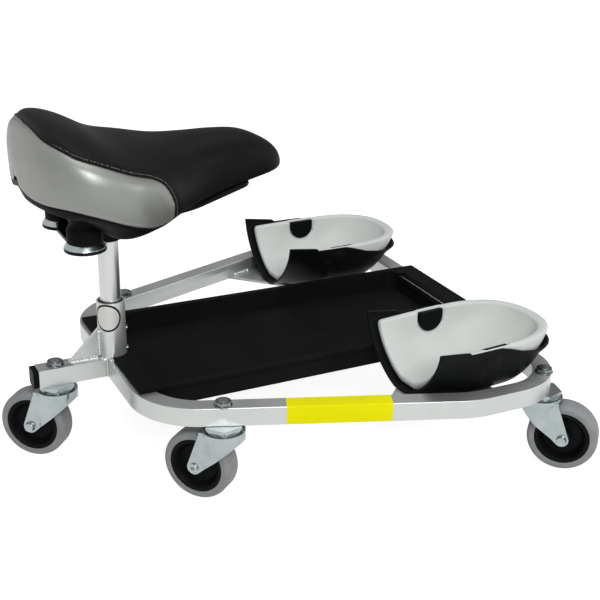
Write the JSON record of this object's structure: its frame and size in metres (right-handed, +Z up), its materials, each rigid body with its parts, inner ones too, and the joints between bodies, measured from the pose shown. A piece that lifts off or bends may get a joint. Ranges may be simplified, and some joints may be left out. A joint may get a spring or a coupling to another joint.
{
  "type": "creeper_seat",
  "caption": "Rolling kneeling creeper seat: silver square-tube frame on swivel casters, sprung saddle on a height-adjustable post, open tool tray and two lined knee cups.",
  "frame": {"origin": "On the floor under the middle of the whole seat: midway between the rear of the rear wheel and the front of the front wheels, on the centre line.", "axes": "+X is forward, from the saddle towards the knee cups; +Y is to the rider's left; +Z is up."},
  "size_m": [0.5726, 0.5568, 0.376],
  "materials": {
    "silver_paint": "silver-grey powder paint, satin with a soft gloss",
    "zinc_plate": "bright bluish zinc plate on pressed steel",
    "post_chrome": "polished chrome tube",
    "rail_steel": "drawn steel wire, dull",
    "black_paint": "black paint on steel, semi-gloss",
    "black_plastic": "black moulded nylon, satin",
    "black_nylon": "black nylon bush, matte",
    "tray_plastic": "black moulded plastic with a fine leather grain",
    "cup_plastic": "black moulded plastic, fine grain",
    "liner_foam": "light grey closed-cell foam, smooth and matte",
    "hub_plastic": "black moulded wheel centre, satin",
    "grey_tyre": "grey non-marking rubber, smooth and matte",
    "black_rubber": "solid black rubber spring",
    "black_vinyl": "black vinyl crown with metallic silver vinyl sides and a stitched seam"
  },
  "bodies": {
    "frame": {"side_rail_right": "silver_paint", "side_rail_left": "silver_paint", "post_sleeve": "silver_paint", "sleeve_bush": "black_nylon", "rear_stub": "silver_paint", "stub_end_cap": "black_plastic", "gusset": "silver_paint", "set_screws": "zinc_plate", "cup_bracket_right": "silver_paint", "cup_bracket_left": "silver_paint", "tool_tray": "tray_plastic", "cup_shell_right": "cup_plastic", "cup_shell_left": "cup_plastic", "cup_liner_right": "liner_foam", "cup_liner_left": "liner_foam", "cup_buttons_right": "black_plastic", "cup_buttons_left": "black_plastic", "cup_bolts": "zinc_plate", "stem_nuts": "zinc_plate", "stem_washers": "zinc_plate", "stem_rear": "zinc_plate", "stem_mid_right": "zinc_plate", "stem_mid_left": "zinc_plate", "stem_front_right": "zinc_plate", "stem_front_left": "zinc_plate"},
    "post": {"seat_post": "post_chrome", "clamp_head": "black_plastic"},
    "saddle_frame": {"clamp_jaws": "black_plastic", "tilt_bolt": "zinc_plate", "saddle_rails": "rail_steel", "spring_yoke": "black_paint", "spring_cups": "zinc_plate", "rubber_springs": "black_rubber"},
    "saddle": {"nose_clip": "black_plastic", "saddle_pan": "black_plastic", "saddle_cushion": "black_vinyl"},
    "fork_rear": {"fork_rear": "zinc_plate", "axle_rear": "zinc_plate"},
    "wheel_rear": {"hub_rear": "hub_plastic", "tyre_rear": "grey_tyre"},
    "fork_mid_right": {"fork_mid_right": "zinc_plate", "axle_mid_right": "zinc_plate"},
    "wheel_mid_right": {"hub_mid_right": "hub_plastic", "tyre_mid_right": "grey_tyre"},
    "fork_mid_left": {"fork_mid_left": "zinc_plate", "axle_mid_left": "zinc_plate"},
    "wheel_mid_left": {"hub_mid_left": "hub_plastic", "tyre_mid_left": "grey_tyre"},
    "fork_front_right": {"fork_front_right": "zinc_plate", "axle_front_right": "zinc_plate"},
    "wheel_front_right": {"hub_front_right": "hub_plastic", "tyre_front_right": "grey_tyre"},
    "fork_front_left": {"fork_front_left": "zinc_plate", "axle_front_left": "zinc_plate"},
    "wheel_front_left": {"hub_front_left": "hub_plastic", "tyre_front_left": "grey_tyre"}
  },
  "joints": [
    {"name": "seat_height", "type": "slide", "parent": "frame", "child": "post", "axis": [0, 0, 1], "range_m": [-0.025, 0.02]},
    {"name": "saddle_tilt", "type": "hinge", "parent": "post", "child": "saddle_frame", "pos_m": [-0.16805, 0, 0.2685], "axis": [0, 1, 0], "range_deg": [-8, 8]},
    {"name": "saddle_spring", "type": "hinge", "parent": "saddle_frame", "child": "saddle", "pos_m": [-0.01792, 0, 0.2875], "axis": [0, 1, 0], "range_deg": [-2, 0], "stiffness_Nm_per_rad": 2500, "deforming": ["rubber_springs"]},
    {"name": "swivel_rear", "type": "hinge", "parent": "frame", "child": "fork_rear", "pos_m": [-0.23205, 0, 0.0766], "axis": [0, 0, 1], "continuous": true},
    {"name": "spin_rear", "type": "hinge", "parent": "fork_rear", "child": "wheel_rear", "pos_m": [-0.25183, 0.01719, 0.0375], "axis": [-0.6561, -0.7547, 0], "continuous": true},
    {"name": "swivel_mid_right", "type": "hinge", "parent": "frame", "child": "fork_mid_right", "pos_m": [-0.10475, -0.15901, 0.0766], "axis": [0, 0, 1], "continuous": true},
    {"name": "spin_mid_right", "type": "hinge", "parent": "fork_mid_right", "child": "wheel_mid_right", "pos_m": [-0.12159, -0.13894, 0.0375], "axis": [-0.766, -0.6428, 0], "continuous": true},
    {"name": "swivel_mid_left", "type": "hinge", "parent": "frame", "child": "fork_mid_left", "pos_m": [-0.10475, 0.15901, 0.0766], "axis": [0, 0, 1], "continuous": true},
    {"name": "spin_mid_left", "type": "hinge", "parent": "fork_mid_left", "child": "wheel_mid_left", "pos_m": [-0.08468, 0.14217, 0.0375], "axis": [0.6428, 0.766, 0], "continuous": true},
    {"name": "swivel_front_right", "type": "hinge", "parent": "frame", "child": "fork_front_right", "pos_m": [0.23323, -0.22786, 0.0766], "axis": [0, 0, 1], "continuous": true},
    {"name": "spin_front_right", "type": "hinge", "parent": "fork_front_right", "child": "wheel_front_right", "pos_m": [0.25239, -0.24573, 0.0375], "axis": [0.682, 0.7314, 0], "continuous": true},
    {"name": "swivel_front_left", "type": "hinge", "parent": "frame", "child": "fork_front_left", "pos_m": [0.23323, 0.22786, 0.0766], "axis": [0, 0, 1], "continuous": true},
    {"name": "spin_front_left", "type": "hinge", "parent": "fork_front_left", "child": "wheel_front_left", "pos_m": [0.25239, 0.24573, 0.0375], "axis": [-0.682, 0.7314, 0], "continuous": true}
  ]
}
